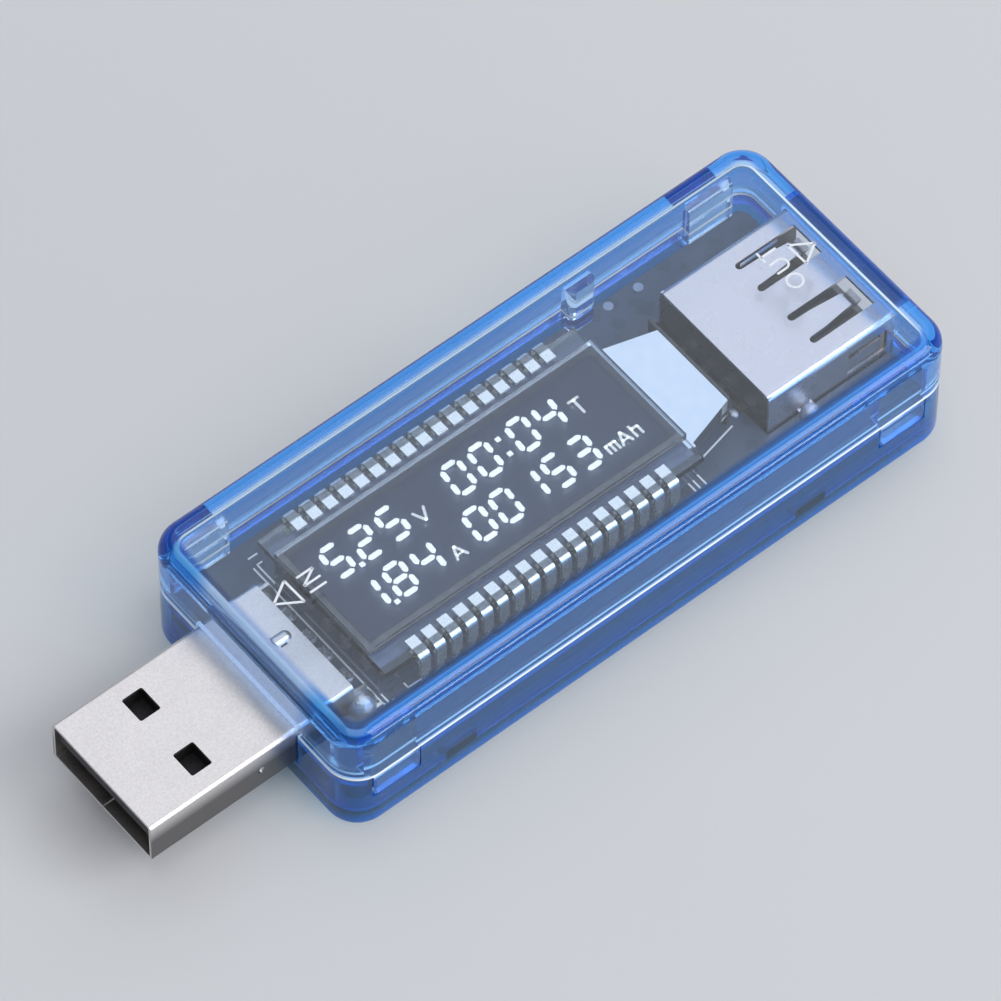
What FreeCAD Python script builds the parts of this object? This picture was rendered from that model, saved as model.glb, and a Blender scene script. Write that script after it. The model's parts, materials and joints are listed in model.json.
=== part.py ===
import FreeCAD, Part
import math
import os

# USB power meter: a translucent two-piece case round a circuit board that carries a USB type A plug
# at one end, a type A receptacle at the other and a backlit liquid crystal display between them.
# Millimetres, +Z up. Origin: centre of the bounding box, on the underside. The plug points to -X,
# the receptacle opens to +X, and the display faces +Z.

# Driving dimensions
case_length = 59.5
case_width = 25.0
case_height = 12.5
plug_reach = 13.8           # plug shell in front of the case
wall = 1.3
seam_z = 6.8                # parting line between the two covers
seam_gap = 0.03
corner_r = 2.8              # upright corners of the case, seen from above
top_edge_r = 1.5
bottom_edge_r = 1.2
lip_depth = 1.2             # the top cover's lip inside the bottom cover
lip_gap = 0.05
port_gap = 0.15             # clearance round the plug and the receptacle in the end walls

plug_axis_z = 5.5
plug_width = 12.0
plug_height = 4.5
plug_length = 19.3
sheet = 0.3                 # connector sheet metal
contact_pitches = (-3.5, -1.0, 1.0, 3.5)
contact_width = 1.0
contact_thickness = 0.15

board_top = 4.8
board_thickness = 1.6
board_width = 21.8

socket_width = 13.15
socket_height = 6.1
socket_top = 9.3
socket_length = 13.75

lcd_length = 31.0
lcd_start = 7.2             # from the case's plug end to the display glass
lcd_rear_width = 15.4       # the rear glass has the contact ledges
lcd_front_width = 11.3
glass_thickness = 0.7
ledge_top = 9.9
pin_count = 17
pin_pitch = 1.52
pin_width = 0.95

# Derived places
tip_x = -(plug_reach + case_length) / 2
case_x0 = tip_x + plug_reach
case_x1 = case_x0 + case_length
half_width = case_width / 2
inner_half = half_width - wall
ceiling_z = case_height - wall
board_bottom = board_top - board_thickness
board_x0 = case_x0 + wall + 0.3
board_x1 = case_x1 - wall - 0.3
plug_x1 = tip_x + plug_length
plug_z0 = plug_axis_z - plug_height / 2
plug_z1 = plug_axis_z + plug_height / 2
socket_x0 = case_x1 - socket_length
socket_z0 = socket_top - socket_height
lcd_x0 = case_x0 + lcd_start
lcd_x1 = lcd_x0 + lcd_length
ledge_bottom = ledge_top - glass_thickness
front_glass_z0 = ledge_top + 0.05
front_glass_z1 = front_glass_z0 + glass_thickness
plug_pin_x = tip_x + 20.55
board_notch_x = plug_x1 + 0.1
guide_x0 = lcd_x0 + 0.5
guide_body_x1 = lcd_x1 + 0.6
guide_tab_x1 = guide_body_x1 + 4.8
guide_z0 = board_top + 0.1
guide_z1 = 8.9
guide_tab_z0 = 6.5
guide_tab_z1 = 8.5


def vec(x, y, z):
    return FreeCAD.Vector(x, y, z)


def box(x0, x1, y0, y1, z0, z1):
    return Part.makeBox(x1 - x0, y1 - y0, z1 - z0, vec(x0, y0, z0))


def slab(x0, x1, width, z0, z1):
    """A box centred on the XZ plane."""
    return box(x0, x1, -width / 2, width / 2, z0, z1)


def fuse(shapes):
    body = shapes[0]
    for other in shapes[1:]:
        body = body.fuse(other)
    return body.removeSplitter()


def along(shape, axis):
    """The straight edges that run along one axis: 0, 1 or 2 for X, Y or Z."""
    chosen = []
    for edge in shape.Edges:
        direction = edge.tangentAt(edge.FirstParameter)
        if abs(tuple(direction)[axis]) > 0.999 and edge.Curve.TypeId == "Part::GeomLine":
            chosen.append(edge)
    return chosen


def rounded_block(x0, x1, half_y, z0, z1, radius):
    block = box(x0, x1, -half_y, half_y, z0, z1)
    return block.makeFillet(radius, along(block, 2))


def edges_at(shape, z):
    return [edge for edge in shape.Edges
            if abs(edge.BoundBox.ZMin - z) < 1e-4 and abs(edge.BoundBox.ZMax - z) < 1e-4]


def prism(points, axis, length):
    """A closed outline of 3-D points pushed along an axis vector."""
    wire = Part.makePolygon([vec(*p) for p in points] + [vec(*points[0])])
    return Part.Face(wire).extrude(vec(*axis) * length)


def export(name, shapes):
    solids = shapes if isinstance(shapes, list) else [shapes]
    body = solids[0] if len(solids) == 1 else Part.makeCompound(solids)
    body.exportStep("parts/" + name + ".step")


# Case ---------------------------------------------------------------------------------------------

tongue_width = 4.4
tongue_depth = 2.5          # below the seam
tongue_gap = 0.12
tongue_rib_z1 = 10.4
tongue_rib_reach = 0.8      # how far the rib stands in from the wall
tongue_centres = (case_x0 + 4.4, case_x1 - 5.3)


def port(x0, x1, width, z0, z1):
    return slab(x0, x1, width + 2 * port_gap, z0 - port_gap, z1 + port_gap)


def ports():
    """The plug's and the receptacle's openings in the end walls."""
    plug_port = port(case_x0 - 1, case_x0 + wall + 0.5, plug_width, plug_z0, plug_z1)
    socket_port = port(case_x1 - wall - 0.5, case_x1 + 1, socket_width, socket_z0, socket_top)
    return [plug_port, socket_port]


def tongue(centre, side):
    """A snap tongue: a rib down the top cover's wall that ends flush in the bottom cover's window."""
    x0 = centre - tongue_width / 2
    x1 = centre + tongue_width / 2
    y_in = inner_half - tongue_rib_reach
    rib_z0 = seam_z - lip_depth
    chamfer = tongue_rib_reach
    outline = [(x0, inner_half, rib_z0), (x0, y_in, rib_z0), (x0, y_in, tongue_rib_z1 - chamfer),
               (x0, inner_half, tongue_rib_z1)]
    rib = prism(outline, (1, 0, 0), tongue_width)
    hook = box(x0, x1, inner_half, half_width, seam_z - tongue_depth, seam_z)
    nose = [e for e in along(hook, 1) if e.BoundBox.ZMax < seam_z - tongue_depth + 0.1]
    hook = hook.makeFillet(0.5, nose)
    body = fuse([rib, hook])
    return body if side > 0 else body.mirror(vec(0, 0, 0), vec(0, 1, 0))


def top_cover():
    outer = rounded_block(case_x0, case_x1, half_width, seam_z, case_height, corner_r)
    outer = outer.makeFillet(top_edge_r, edges_at(outer, case_height))
    hollow = rounded_block(case_x0 + wall, case_x1 - wall, inner_half, seam_z - 3, ceiling_z,
                           corner_r - wall)
    hollow = hollow.makeFillet(0.8, edges_at(hollow, ceiling_z))
    half_wall = wall / 2 + lip_gap
    lip = rounded_block(case_x0 + half_wall, case_x1 - half_wall, half_width - half_wall,
                        seam_z - lip_depth, seam_z, corner_r - half_wall)
    shell = fuse([outer, lip]).cut(hollow)
    parts = [shell]
    for centre in tongue_centres:
        for side in (1, -1):
            parts.append(tongue(centre, side))
    parts.append(board_rib())
    cover = fuse(parts)
    for opening in ports():
        cover = cover.cut(opening)
    return cover.removeSplitter()


def board_rib():
    """One rib on the far wall that holds the board down beside the display."""
    rib = box(lcd_x1 + 1.6, lcd_x1 + 4.2, inner_half - 1.2, inner_half, board_top + 0.05,
              tongue_rib_z1 - 0.4)
    corners = [e for e in along(rib, 2) if e.BoundBox.YMax < inner_half - 0.1]
    return rib.makeFillet(0.6, corners)


def board_rest(x, side):
    rest = box(x - 1.5, x + 1.5, inner_half - 1.8, inner_half + 0.2, wall - 0.2, board_bottom)
    return rest if side > 0 else rest.mirror(vec(0, 0, 0), vec(0, 1, 0))


def bottom_cover():
    outer = rounded_block(case_x0, case_x1, half_width, 0, seam_z - seam_gap, corner_r)
    outer = outer.makeFillet(bottom_edge_r, edges_at(outer, 0))
    hollow = rounded_block(case_x0 + wall, case_x1 - wall, inner_half, wall, seam_z + 1, corner_r - wall)
    hollow = hollow.makeFillet(0.6, edges_at(hollow, wall))
    half_wall = wall / 2
    rebate = rounded_block(case_x0 + half_wall, case_x1 - half_wall, half_width - half_wall,
                           seam_z - lip_depth - lip_gap, seam_z + 1, corner_r - half_wall)
    shell = outer.cut(hollow).cut(rebate)
    parts = [shell]
    for x in (case_x0 + 11.0, case_x1 - 14.0):
        for side in (1, -1):
            parts.append(board_rest(x, side))
    cover = fuse(parts)
    for opening in ports():
        cover = cover.cut(opening)
    window_half = tongue_width / 2 + tongue_gap
    for centre in tongue_centres:
        window = slab(centre - window_half, centre + window_half, case_width + 2,
                      seam_z - tongue_depth - tongue_gap, seam_z + 1)
        window = window.cut(slab(centre - window_half - 1, centre + window_half + 1, 2 * inner_half,
                                 0, case_height))
        cover = cover.cut(window)
    return cover.removeSplitter()


# Circuit board ------------------------------------------------------------------------------------

plug_leg_y = plug_width / 2 - sheet / 2
pin_leg_y = 8.3


def pin_xs():
    first = (lcd_x0 + lcd_x1) / 2 - (pin_count - 1) * pin_pitch / 2
    return [first + i * pin_pitch for i in range(pin_count)]


def circuit_board():
    board = slab(board_x0, board_x1, board_width, board_bottom, board_top)
    board = board.makeFillet(0.8, along(board, 2))
    cuts = [slab(board_x0 - 1, board_notch_x, plug_width + 0.3, board_bottom - 1, board_top + 1),
            slab(socket_x0 - 0.15, board_x1 + 1, socket_width + 0.3, board_bottom - 1, board_top + 1)]
    for y in contact_pitches:
        cuts.append(Part.makeCylinder(0.5, 4, vec(plug_pin_x, y, board_bottom - 1)))
    for side in (1, -1):
        cuts.append(box(plug_x1 + 0.45, plug_x1 + 1.35, side * plug_leg_y - 0.25, side * plug_leg_y + 0.25,
                        board_bottom - 1, board_top + 1))
        for x in pin_xs():
            cuts.append(Part.makeCylinder(0.38, 4, vec(x, side * pin_leg_y, board_bottom - 1)))
    return board.cut(Part.makeCompound(cuts))


# Plug ---------------------------------------------------------------------------------------------

plug_bend_r = 0.42
latch_hole_x = 5.25         # from the plug's tip to its square latch holes
latch_hole_y = 3.1
latch_hole_length = 1.92
latch_hole_half = 1.2
dimple_x = 10.45            # from the plug's tip to the small pressed dimples in its sides
dimple_r = 0.4
dimple_depth = 0.2
sheet_slit = 0.12           # where the folded sheet's edges meet
lance_x0 = tip_x + 16.9
lance_y = 0.8
lance_length = 1.2
lance_r = 0.55
lance_rise = 0.4
outer_contact_start = 1.2   # from the plug's tip; the two outer contacts make first
inner_contact_start = 2.2
tail_half = 0.15
insulator_block = 7.0

def sheet_tube(x0, x1, width, z0, z1, bend_r):
    """A rectangular sheet metal tube along X with rounded long edges."""
    outer = slab(x0, x1, width, z0, z1)
    outer = outer.makeFillet(bend_r, along(outer, 0))
    inner = slab(x0 - 1, x1 + 1, width - 2 * sheet, z0 + sheet, z1 - sheet)
    inner = inner.makeFillet(bend_r - sheet + 0.05, along(inner, 0))
    return outer.cut(inner)


def latch_hole(y, z0, z1, margin):
    """The outline of a square latch hole with slightly rounded corners, as a block to cut with."""
    x0 = tip_x + latch_hole_x - margin
    x1 = x0 + latch_hole_length + 2 * margin
    half = latch_hole_half + margin
    hole = box(x0, x1, y - half, y + half, z0, z1)
    return hole.makeFillet(0.18, along(hole, 2))


def lance():
    """A pressed bead on the shell's top behind the case wall, round at both ends."""
    z = plug_z1 - lance_r + lance_rise
    x1 = lance_x0 + lance_length
    bead = fuse([Part.makeCylinder(lance_r, lance_length, vec(lance_x0, lance_y, z), vec(1, 0, 0)),
                 Part.makeSphere(lance_r, vec(lance_x0, lance_y, z)),
                 Part.makeSphere(lance_r, vec(x1, lance_y, z))])
    return bead.cut(slab(lance_x0 - 1, x1 + 1, 4, plug_z0, plug_z1 - sheet / 2))


def plug_shell():
    tube = sheet_tube(tip_x, plug_x1, plug_width, plug_z0, plug_z1, plug_bend_r)
    cuts = [latch_hole(y, plug_z0 - 1, plug_z1 + 1, 0) for y in (latch_hole_y, -latch_hole_y)]
    cuts.append(slab(tip_x - 1, plug_x1 + 1, sheet_slit, plug_z0 - 1, plug_z0 + sheet + 0.1))
    for side in (1, -1):
        centre = vec(tip_x + dimple_x, side * (plug_width / 2 + dimple_r - dimple_depth), plug_axis_z)
        cuts.append(Part.makeSphere(dimple_r, centre))
    lance_x1 = lance_x0 + lance_length
    cuts.append(box(lance_x0 + 0.4, lance_x1 - 0.2, lance_y - lance_r - 0.12, lance_y - lance_r + 0.08,
                    plug_z1 - sheet - 0.1, plug_z1 + 1))
    shell = tube.cut(Part.makeCompound(cuts))
    parts = [shell, lance()]
    for side in (1, -1):
        y0 = side * plug_leg_y - sheet / 2
        y1 = side * plug_leg_y + sheet / 2
        parts.append(box(plug_x1 - 0.2, plug_x1 + 1.25, y0, y1, board_top + 0.05, plug_axis_z + 1.2))
        parts.append(box(plug_x1 + 0.55, plug_x1 + 1.25, y0, y1, board_bottom - 0.5, board_top + 0.1))
    return fuse(parts)


def is_outer(y):
    """The supply contacts are the two outer ones."""
    return abs(y) > max(contact_pitches) / 2


def plug_contact(y):
    """A flat contact under the tongue that turns down through the board behind the plug."""
    top = plug_axis_z
    start = tip_x + (outer_contact_start if is_outer(y) else inner_contact_start)
    y0 = y - contact_width / 2
    blade = box(start, plug_pin_x + tail_half, y0, y0 + contact_width, top - contact_thickness, top)
    tail = box(plug_pin_x - tail_half, plug_pin_x + tail_half, y - 2 * tail_half, y + 2 * tail_half,
               board_bottom - 0.4, top)
    return fuse([blade, tail])


def plug_insulator():
    half = plug_width - 2 * sheet - 0.1
    block_x0 = plug_x1 - insulator_block
    tongue_part = slab(tip_x + 0.35, block_x0, half, plug_axis_z, plug_z1 - sheet - 0.05)
    block = slab(block_x0, plug_x1 - 0.3, half, plug_z0 + sheet + 0.05, plug_z1 - sheet - 0.05)
    body = fuse([tongue_part, block])
    pockets = [latch_hole(y, plug_axis_z + 0.5, plug_z1 + 1, 0.1) for y in (latch_hole_y, -latch_hole_y)]
    return body.cut(Part.makeCompound([plug_contact(y) for y in contact_pitches] + pockets))


# Receptacle ---------------------------------------------------------------------------------------

finger_y = 3.1
finger_x0 = socket_x0 + 6.25
finger_x1 = finger_x0 + 4.35
finger_root_half = 1.0
finger_tip_half = 0.65
window_x1 = finger_x0 + 5.8
window_half = 1.65
side_finger_z = 6.65
side_finger_half = 0.65
side_window_half = 1.25


def top_finger(y):
    """A tapered spring finger in the receptacle's top plate, with its tip bent down."""
    z0 = socket_top - sheet
    half_widths = [(finger_x0 - 0.1, finger_root_half), (finger_x0 + 1.6, finger_root_half - 0.05),
                   (finger_x1, finger_tip_half)]
    outline = [(x, y - half, z0) for x, half in half_widths]
    outline += [(x, y + half, z0) for x, half in reversed(half_widths)]
    blade = prism(outline, (0, 0, 1), sheet)
    low_x = finger_x1 + 0.35
    end_x = finger_x1 + 1.0
    profile = [(finger_x1, z0), (low_x, z0 - 0.4), (end_x, z0 - 0.1), (end_x, z0 + 0.15),
               (low_x, z0 - 0.15), (finger_x1, z0 + sheet)]
    tip = prism([(x, y - finger_tip_half, z) for x, z in profile], (0, 1, 0), 2 * finger_tip_half)
    return fuse([blade, tip])


def finger_window(y):
    """The opening round a finger; the slits beside the finger's root have rounded ends."""
    z0 = socket_top - 0.5
    window = box(finger_x0, window_x1, y - window_half, y + window_half, z0, z0 + 1)
    slit_r = (window_half - finger_root_half) / 2
    ends = [Part.makeCylinder(slit_r, 1, vec(finger_x0, y + side * (finger_root_half + slit_r), z0))
            for side in (1, -1)]
    return fuse([window] + ends)


def side_finger(side):
    y0 = side * socket_width / 2
    y1 = y0 - side * sheet
    return box(socket_x0 + 7.8, socket_x0 + 11.2, min(y0, y1), max(y0, y1),
               side_finger_z - side_finger_half, side_finger_z + side_finger_half)


def receptacle_shell():
    tube = sheet_tube(socket_x0, case_x1, socket_width, socket_z0, socket_top, 0.6)
    cuts = []
    for y in (finger_y, -finger_y):
        window = finger_window(y)
        cuts.append(window)
        cuts.append(window.translated(vec(0, 0, -socket_height + sheet)))
    cuts.append(slab(socket_x0 + 8.0, socket_x0 + 11.9, socket_width + 1,
                     side_finger_z - side_window_half, side_finger_z + side_window_half))
    cuts.append(slab(socket_x0 - 1, case_x1 + 1, sheet_slit, socket_z0 - 1, socket_z0 + sheet + 0.1))
    shell = tube.cut(Part.makeCompound(cuts))
    parts = [shell, slab(socket_x0, socket_x0 + sheet, socket_width - sheet, 5.5, socket_top - 0.1)]
    for y in (finger_y, -finger_y):
        finger = top_finger(y)
        parts.append(finger)
        parts.append(finger.mirror(vec(0, 0, (socket_top + socket_z0) / 2), vec(0, 0, 1)))
    for side in (1, -1):
        parts.append(side_finger(side))
        flange = box(socket_x0 + 3.0, socket_x0 + 4.4, socket_width / 2 - 0.1, socket_width / 2 + 1.1,
                     board_top, board_top + sheet)
        parts.append(flange if side > 0 else flange.mirror(vec(0, 0, 0), vec(0, 1, 0)))
    return fuse(parts)


socket_tongue_z0 = 4.35
socket_tongue_z1 = 6.2
socket_tongue_width = 11.1
socket_tongue_inset = 1.6   # the tongue's nose behind the mouth
socket_block_x1 = socket_x0 + 3.0
socket_riser_x = socket_x0 + 2.3


def receptacle_contact(y):
    """A contact on top of the tongue that steps down behind it to the board."""
    y0 = y - contact_width / 2
    run_z = socket_tongue_z1
    riser_x1 = socket_riser_x + contact_thickness
    inset = socket_tongue_inset + (0.3 if is_outer(y) else 1.3)
    run = box(socket_riser_x, case_x1 - inset, y0, y0 + contact_width, run_z, run_z + contact_thickness)
    riser = box(socket_riser_x, riser_x1, y0, y0 + contact_width, board_top, run_z + contact_thickness)
    tail = box(socket_x0 - 1.2, riser_x1, y0 + 0.15, y0 + contact_width - 0.15,
               board_top, board_top + contact_thickness)
    return fuse([run, riser, tail])


def receptacle_insulator():
    edge_r = 0.4
    nose_x = case_x1 - socket_tongue_inset
    block = slab(socket_x0 + sheet + 0.1, socket_block_x1, socket_width - 2 * sheet - 0.1,
                 socket_z0 + sheet + 0.05, socket_top - sheet - 0.05)
    block = block.makeFillet(edge_r, along(block, 0))
    tongue_part = slab(socket_block_x1, nose_x, socket_tongue_width, socket_tongue_z0, socket_tongue_z1)
    nose = [e for e in along(tongue_part, 1) if e.BoundBox.XMin > nose_x - 0.1]
    tongue_part = tongue_part.makeFillet(edge_r, nose)
    body = fuse([block, tongue_part])
    return body.cut(Part.makeCompound([receptacle_contact(y) for y in contact_pitches]))


# Display ------------------------------------------------------------------------------------------

seal_inset = 0.2
seal_width = 0.6
film_inset = 0.5            # front polarizing film inside the glass edge
front_film = 0.14
rear_film = 0.16
adhesive = 0.02             # between a film and its glass
grip_y = 7.0                # inner end of a pin's lower finger
leg_width = 0.5


def lcd_rear_glass():
    return slab(lcd_x0, lcd_x1, lcd_rear_width, ledge_bottom, ledge_top)


def lcd_front_glass():
    return slab(lcd_x0, lcd_x1, lcd_front_width, front_glass_z0, front_glass_z1)


def behind_edge(inset, z0, z1):
    """A sheet as large as the front glass less an inset all round."""
    return slab(lcd_x0 + inset, lcd_x1 - inset, lcd_front_width - 2 * inset, z0, z1)


def lcd_seal():
    ring = behind_edge(seal_inset, ledge_top, front_glass_z0)
    return ring.cut(behind_edge(seal_inset + seal_width, ledge_top - 1, front_glass_z0 + 1))


def lcd_front_polarizer():
    z0 = front_glass_z1 + adhesive
    return behind_edge(film_inset, z0, z0 + front_film)


def lcd_rear_polarizer():
    """The rear film runs out under the contact ledges as far as the pins' lower fingers."""
    z1 = ledge_bottom - adhesive
    return slab(lcd_x0 + seal_inset, lcd_x1 - seal_inset, 2 * (grip_y - 0.2), z1 - rear_film, z1)


def pin_clip(x, side):
    """A display pin: two fingers grip the glass ledge and a leg runs down through the board."""
    thick = 0.2
    finger_y0 = 6.4
    bend_y = lcd_rear_width / 2 + 0.05
    bend_r = 0.65
    top = ledge_top + thick
    bend_z = top - bend_r
    leg_out = bend_y + bend_r
    leg_in = leg_out - thick
    wide_z0 = 7.7

    def arc(radius):
        mid = math.radians(45)
        return Part.Arc(vec(0, bend_y, bend_z + radius),
                        vec(0, bend_y + radius * math.sin(mid), bend_z + radius * math.cos(mid)),
                        vec(0, bend_y + radius, bend_z)).toShape()

    def line(y0, z0, y1, z1):
        return Part.LineSegment(vec(0, y0, z0), vec(0, y1, z1)).toShape()

    inner_r = bend_r - thick
    grip_z0 = ledge_bottom - thick
    edges = [line(finger_y0, ledge_top, finger_y0, top), line(finger_y0, top, bend_y, top), arc(bend_r),
             line(leg_out, bend_z, leg_out, wide_z0), line(leg_out, wide_z0, leg_in, wide_z0),
             line(leg_in, wide_z0, leg_in, grip_z0), line(leg_in, grip_z0, grip_y, grip_z0),
             line(grip_y, grip_z0, grip_y, ledge_bottom), line(grip_y, ledge_bottom, leg_in, ledge_bottom),
             line(leg_in, ledge_bottom, leg_in, bend_z), arc(inner_r),
             line(bend_y, ledge_top, finger_y0, ledge_top)]
    profile = Part.Face(Part.Wire(Part.__sortEdges__(edges)))
    clip = profile.extrude(vec(pin_width, 0, 0)).translated(vec(x - pin_width / 2, 0, 0))
    leg = box(x - leg_width / 2, x + leg_width / 2, leg_in, leg_out, board_bottom - 0.5, wide_z0 + 0.1)
    pin = fuse([clip, leg])
    return pin if side > 0 else pin.mirror(vec(0, 0, 0), vec(0, 1, 0))


# Backlight ----------------------------------------------------------------------------------------

guide_width = 12.6
tab_root_width = 11.2
tab_end_width = 8.4
led_ys = (-2.7, 0.0, 2.7)
led_size = (0.7, 1.6, 1.4)
led_board_ys = (-4.0, 5.4)
led_board_thickness = 0.25
film_thickness = 0.1


def tab_outline(z, inset):
    x0 = guide_body_x1
    x1 = guide_tab_x1 - inset
    root = tab_root_width / 2 - inset
    end = tab_end_width / 2 - inset
    return [(x0, -root, z), (x1, -end, z), (x1, end, z), (x0, root, z)]


def led(y, gap):
    """An LED let into the end of the tab, or its pocket when gap is its clearance."""
    depth, width, height = led_size
    x1 = guide_tab_x1 + 0.05
    z = (guide_tab_z0 + guide_tab_z1) / 2
    return box(x1 - depth - gap, x1, y - width / 2 - gap, y + width / 2 + gap,
               z - height / 2 - gap, z + height / 2 + gap)


def backlight_guide():
    block = slab(guide_x0, guide_body_x1, guide_width, guide_z0, guide_z1)
    tab = prism(tab_outline(guide_tab_z0, 0), (0, 0, 1), guide_tab_z1 - guide_tab_z0)
    guide = fuse([block, tab])
    return guide.cut(Part.makeCompound([led(y, 0.05) for y in led_ys]))


def backlight_diffuser():
    under_glass = slab(guide_x0, guide_body_x1, guide_width - 0.4, guide_z1, guide_z1 + film_thickness)
    on_tab = prism(tab_outline(guide_tab_z1, 0.02), (0, 0, 1), 0.08)
    return [under_glass, on_tab]


def backlight_reflector():
    return slab(guide_x0, guide_body_x1, guide_width, board_top, guide_z0)


def backlight_led_board():
    x0 = guide_tab_x1 + 0.08
    y0, y1 = led_board_ys
    return box(x0, x0 + led_board_thickness, y0, y1, board_top, guide_tab_z1)


# Parts under the board ----------------------------------------------------------------------------

standoff = 0.1              # of the moulded packages from the board
packages = {
    "microcontroller": {"x": -3.0, "y": 0.0, "size": (9.7, 4.4, 0.95), "leads": (14, 0.65, 0.25)},
    "memory_chip": {"x": 8.0, "y": 0.8, "size": (4.9, 3.9, 1.35), "leads": (4, 1.27, 0.4)},
    "current_amplifier": {"x": -11.4, "y": 3.2, "size": (2.9, 1.6, 0.95), "leads": (3, 0.95, 0.35)},
    "voltage_regulator": {"x": -11.4, "y": -3.2, "size": (4.5, 2.5, 1.3), "leads": (3, 1.5, 0.45)},
}


def chip(x, y, length, width, height):
    """A moulded package on the board's underside, with a chamfered lower face."""
    z1 = board_bottom - standoff
    body = box(x - length / 2, x + length / 2, y - width / 2, y + width / 2, z1 - height, z1)
    return body.makeChamfer(0.12, edges_at(body, z1 - height))


def chip_leads(x, y, body_width, height, count, pitch, lead_width):
    """Gull-wing leads along both long sides of a package."""
    thick = 0.12
    leads = []
    foot_z0 = board_bottom - thick
    knee_z = board_bottom - standoff - height / 2
    first = x - (count - 1) * pitch / 2
    for side in (1, -1):
        y_in = y + side * body_width / 2
        y_knee = y_in + side * 0.3
        y_heel = y_knee + side * thick
        y_foot = y_knee + side * 0.6
        profile = [(y_in, knee_z + thick / 2), (y_in, knee_z - thick / 2), (y_heel, knee_z - thick / 2),
                   (y_heel, foot_z0), (y_foot, foot_z0), (y_foot, board_bottom),
                   (y_knee, board_bottom), (y_knee, knee_z + thick / 2)]
        for i in range(count):
            x0 = first + i * pitch - lead_width / 2
            leads.append(prism([(x0, y_at, z_at) for y_at, z_at in profile], (1, 0, 0), lead_width))
    return leads


def chip_part(x, y, size, cap, turned):
    """A two-terminal chip: its body, and its two end caps, on the underside of the board."""
    length, width, height = size
    z0 = board_bottom - height

    def place(a0, a1, half):
        if turned:
            return box(x - half, x + half, y + a0, y + a1, z0, board_bottom)
        return box(x + a0, x + a1, y - half, y + half, z0, board_bottom)

    body = place(-length / 2 + cap, length / 2 - cap, width / 2)
    caps = [place(-length / 2, -length / 2 + cap, width / 2), place(length / 2 - cap, length / 2, width / 2)]
    return body, caps


row_y = 6.7
resistor_places = [(-12.0, row_y), (-9.2, row_y), (-6.4, row_y), (7.0, row_y), (9.8, row_y),
                   (-12.0, -row_y), (-9.2, -row_y), (7.0, -row_y), (9.8, -row_y), (12.6, -row_y)]
capacitor_places = [(-3.4, row_y - 0.2), (-0.4, row_y - 0.2), (-6.2, 0.2 - row_y), (14.4, 3.4), (14.4, 0.0),
                    (-14.2, 0.0)]


two_terminal_groups = {
    "current_shunt": {"places": [(17.4, 0.0)], "size": (6.3, 3.1, 0.6), "cap": 0.7, "turned": True},
    "protection_diode": {"places": [(12.6, -3.2)], "size": (2.7, 1.6, 1.1), "cap": 0.35, "turned": True},
    "chip_resistors": {"places": resistor_places, "size": (1.6, 0.8, 0.45), "cap": 0.3, "turned": False},
    "chip_capacitors": {"places": capacitor_places, "size": (1.6, 0.8, 0.8), "cap": 0.3, "turned": True},
}


def chip_group(places, size, cap, turned):
    bodies = []
    caps = []
    for x, y in places:
        body, ends = chip_part(x, y, size, cap, turned)
        bodies.append(body)
        caps.extend(ends)
    return bodies, caps


# Solder -------------------------------------------------------------------------------------------

def solder_cone(x, y, z, radius, height, cut_by):
    """A joint that hangs below the board round a leg."""
    cone = Part.makeCone(radius, radius * 0.45, height, vec(x, y, z), vec(0, 0, -1))
    return cone.cut(cut_by)


def solder_dome(x, y, z, radius, squash, cut_by):
    ball = Part.makeSphere(radius, vec(0, 0, 0))
    flat = FreeCAD.Matrix()
    flat.scale(1, 1, squash)
    ball = ball.transformGeometry(flat).translated(vec(x, y, z))
    ball = ball.cut(box(x - 3, x + 3, y - 3, y + 3, z - 3, z))
    return ball.cut(cut_by)


def plug_solder(plug, contacts):
    joints = [solder_dome(plug_pin_x, y, board_top, 0.62, 0.8, contact)
              for y, contact in zip(contact_pitches, contacts, strict=True)]
    for side in (1, -1):
        joints.append(solder_dome(plug_x1 + 0.6, side * (plug_leg_y + 0.2), board_top, 1.25, 1.1, plug))
    return joints


def receptacle_solder(shell, contacts):
    joints = []
    for y, contact in zip(contact_pitches, contacts, strict=True):
        joints.append(solder_dome(socket_x0 - 0.85, y, board_top, 0.55, 0.7, contact))
    for side in (1, -1):
        joints.append(solder_dome(socket_x0 + 3.7, side * (socket_width / 2 + 0.85), board_top, 1.0, 0.9,
                                  shell))
    return joints


def lcd_solder(pins_far, pins_near):
    joints = []
    for side, pins in ((1, pins_far), (-1, pins_near)):
        for x, pin in zip(pin_xs(), pins, strict=True):
            joints.append(solder_cone(x, side * pin_leg_y, board_bottom, 0.55, 0.4, pin))
    return joints


# Export -------------------------------------------------------------------------------------------

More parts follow.
